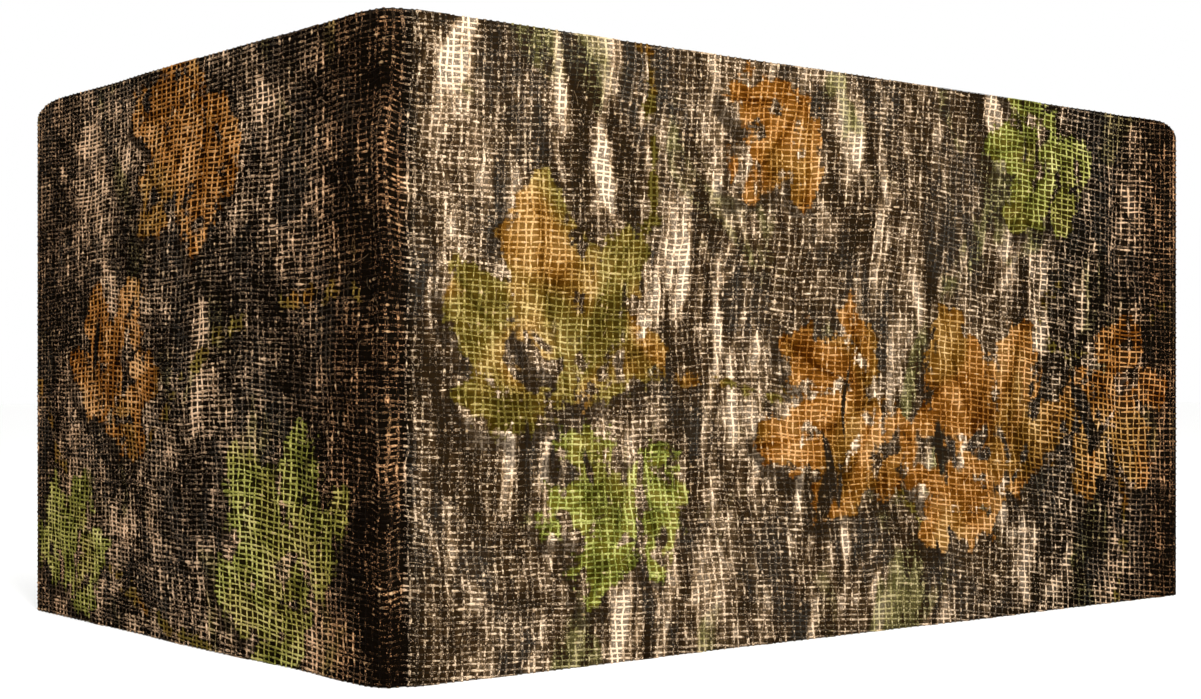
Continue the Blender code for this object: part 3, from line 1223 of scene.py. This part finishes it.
def stray_tone(g, fine, ink, luck):
    """How much paler or darker than the print a place of a yarn is."""
    stray = g.plus(g.swing(fine, FINE_GAIN), g.swing(luck, LUCK_GAIN))
    stray = g.shifted(stray, ink, WEAR_SHARE)
    # Painted glints on the brightest fine specks.
    stray = g.shifted(stray, g.step(fine, GLINT_SPECK_LIMITS), GLINT_SPECK_SHARE)
    return g.plus(stray, STRAY_SHIFT)


def bare_share(g, fields, fine, ink):
    """How far the bare jute shows through the ink."""
    bare = g.shifted(g.times(ink, CROWN_WEAR), fine, FINE_WEAR)
    bare = g.shifted(bare, g.noise(WORN_PATCHES, fields.cloth), PATCH_WEAR)
    return g.times(g.step(bare, BARE_LIMITS), g.between(fields.harsh, BARE_SHARES))


def yarn_material(name):
    """Printed jute: ink that has missed or worn off some crowns, over hairy twisted fibre, with
    painted glints and painted shade between the fibres.
    """
    g = Graph(name)
    fields = read_fields(g)
    thread = g.attribute("thread")
    run, flank, luck = g.parts(thread)
    ink = g.attribute("ink", "Fac")
    fine = g.noise(FINE, fields.cloth)
    fibre = g.noise(FIBRES, thread)
    printed, _ = print_colour(g, fields, stray_tone(g, fine, ink, luck))
    jute_tone = g.shifted(g.times(fibre, FIBRE_TONE_SHARE), luck, LUCK_TONE_SHARE)
    jute = g.ramp(jute_tone, JUTE_STOPS)
    colour = g.mix(bare_share(g, fields, fine, ink), printed, jute)
    inner = g.step(g.parts(fields.cloth)[2], INNER_SIDE_LIMITS)
    colour = g.mix(g.times(inner, INNER_SIDE_SHARE), colour, jute)
    # Painted shade between the fibres.
    depth = g.between(fibre, FIBRE_SHADE_SHARES)
    colour = g.mix(1.0, colour, g.grey(depth), "MULTIPLY")

    g.shade(
        {
            "Base Color": colour,
            "Roughness": g.between(fibre, YARN_ROUGHNESSES),
            "Specular IOR Level": 0.015,
            "Sheen Weight": 0.008,
            "Sheen Roughness": 0.6,
            "Sheen Tint": linear("a5845c"),
        }
    )
    turn = g.shifted(g.times(run, TWIST_RATE), flank, TWIST_SLANT)
    twist = g.math("SINE", turn)
    g.bump(g.shifted(fibre, twist, TWIST_SHARE), YARN_BUMP, YARN_BUMP_STRENGTH)
    return g.material


def shade_sheet_material(name):
    """Painted shade between the yarns: the print darkened as in deep shade, with paler hairs, fewer
    in leaves.
    """
    g = Graph(name)
    fields = read_fields(g)
    printed, cover = print_colour(g, fields, 0.0)
    # Painted shade in the holes: browner in the bark and tinted in the leaves.
    bark_hole_shade = g.mix(HOLE_SHADE_SHARE, printed, linear(HOLE_SHADE_BROWN))
    leaf_hole_shade = g.mix(1.0, printed, LEAF_HOLE_SHADE_TINT, "MULTIPLY")
    colour = g.mix(cover, bark_hole_shade, leaf_hole_shade)
    hairs = g.patches(SHADE_SHEET_HAIRS, fields.cloth)
    colour = g.mix(g.times(hairs, g.between(cover, LEAF_HAIR_SHARES)), colour, printed)
    # Painted shade: nearly black where the print is harsh.
    colour = g.mix(g.times(fields.harsh, HARSH_SHADE_SHEET_SHARE), colour, linear(SHADE_BLACK))

    fibre = g.noise(SHADE_SHEET_FIBRES, fields.cloth)
    roughness = g.between(fibre, SHADE_SHEET_ROUGHNESSES)
    g.shade({"Base Color": colour, "Roughness": roughness, "Specular IOR Level": 0.0})
    g.bump(fibre, SHADE_SHEET_BUMP, SHADE_SHEET_BUMP_STRENGTH)
    return g.material


# ---------------- studio and camera

# The photo's frame and what its two vanishing points give: the lens, the level line, and the
# corner's place before the camera.
IMAGE_WIDTH, IMAGE_HEIGHT = 1201, 699
FOCAL_PIXELS = 1886.4
LEVEL_LINE_Y = 384.6
SENSOR_MM = 36
CAMERA_TURN = -39.1
CORNER_DEPTH = 2.7427 * HEIGHT
CORNER_RIGHT = -0.3162 * HEIGHT
CAMERA_HEIGHT = 0.446 * HEIGHT
NEAREST_SEEN = 0.01

FLOOR_REACH = 12
FLOOR_DROP = 0.0002
Softbox = namedtuple("Softbox", "name spot target size energy")
KEY = Softbox("key", (-0.66, -1.60, 1.10), (-0.02, -0.19, 0.15), 0.55, 47)


def add_camera():
    data = bpy.data.cameras.new("camera")
    data.sensor_width = SENSOR_MM
    data.lens = SENSOR_MM * FOCAL_PIXELS / IMAGE_WIDTH
    data.shift_y = (LEVEL_LINE_Y - IMAGE_HEIGHT / 2) / IMAGE_WIDTH
    data.clip_start = NEAREST_SEEN
    camera = bpy.data.objects.new("camera", data)
    bpy.context.scene.collection.objects.link(camera)
    turn = math.radians(CAMERA_TURN)
    look = np.array([-math.sin(turn), math.cos(turn)])
    right = np.array([look[1], -look[0]])
    spot = CORNER_AT - CORNER_DEPTH * look - CORNER_RIGHT * right
    camera.location = (spot[0], spot[1], CAMERA_HEIGHT)
    camera.rotation_euler = (math.radians(90), 0, turn)
    bpy.context.scene.camera = camera


def add_softbox(softbox):
    data = bpy.data.lights.new(softbox.name, "AREA")
    data.shape = "DISK"
    data.size = softbox.size
    data.energy = softbox.energy
    light = bpy.data.objects.new(softbox.name, data)
    bpy.context.scene.collection.objects.link(light)
    light.location = softbox.spot
    aim = Vector(softbox.target) - Vector(softbox.spot)
    light.rotation_euler = aim.to_track_quat("-Z", "Y").to_euler()


def add_floor():
    mesh = bpy.data.meshes.new("studio_floor")
    bm = bmesh.new()
    bmesh.ops.create_grid(bm, x_segments=1, y_segments=1, size=FLOOR_REACH)
    bm.to_mesh(mesh)
    bm.free()
    g = Graph("pale_floor")
    g.shade({"Base Color": linear("fdfdfc"), "Roughness": 0.9, "Specular IOR Level": 0.1})
    mesh.materials.append(g.material)
    floor = bpy.data.objects.new("studio_floor", mesh)
    floor.location.z = -FLOOR_DROP
    bpy.context.scene.collection.objects.link(floor)


def add_studio():
    world = bpy.data.worlds.new("studio")
    world.use_nodes = True
    background = world.node_tree.nodes["Background"]
    background.inputs["Color"].default_value = (1.0, 1.0, 1.0, 1.0)
    background.inputs["Strength"].default_value = 1.0
    bpy.context.scene.world = world
    bpy.context.scene.view_settings.view_transform = "Standard"
    add_floor()
    add_softbox(KEY)


# ---------------- making


def main():
    add_camera()
    add_studio()
    printed_jute = yarn_material("printed_jute")
    warps, wefts = warp_places(), weft_places()
    cloth_length = RIGHT_END - LEFT_END
    families = (
        Family("weft", weft_yarn, wefts, warps, (0, HEIGHT), cloth_length, 1.04, 4),
        Family("warp", warp_yarn, warps, wefts, (LEFT_END, RIGHT_END), HEIGHT, 1.14, 1),
    )
    yarns = [piece for family in families for piece in yarn_pieces(family, printed_jute)]
    yarns.append(fuzz_piece(printed_jute))
    shade_sheet = shade_sheet_piece(shade_sheet_material("painted_shade_material"))


def plain(bounds):
    return [list(corner) for corner in bounds]


main()
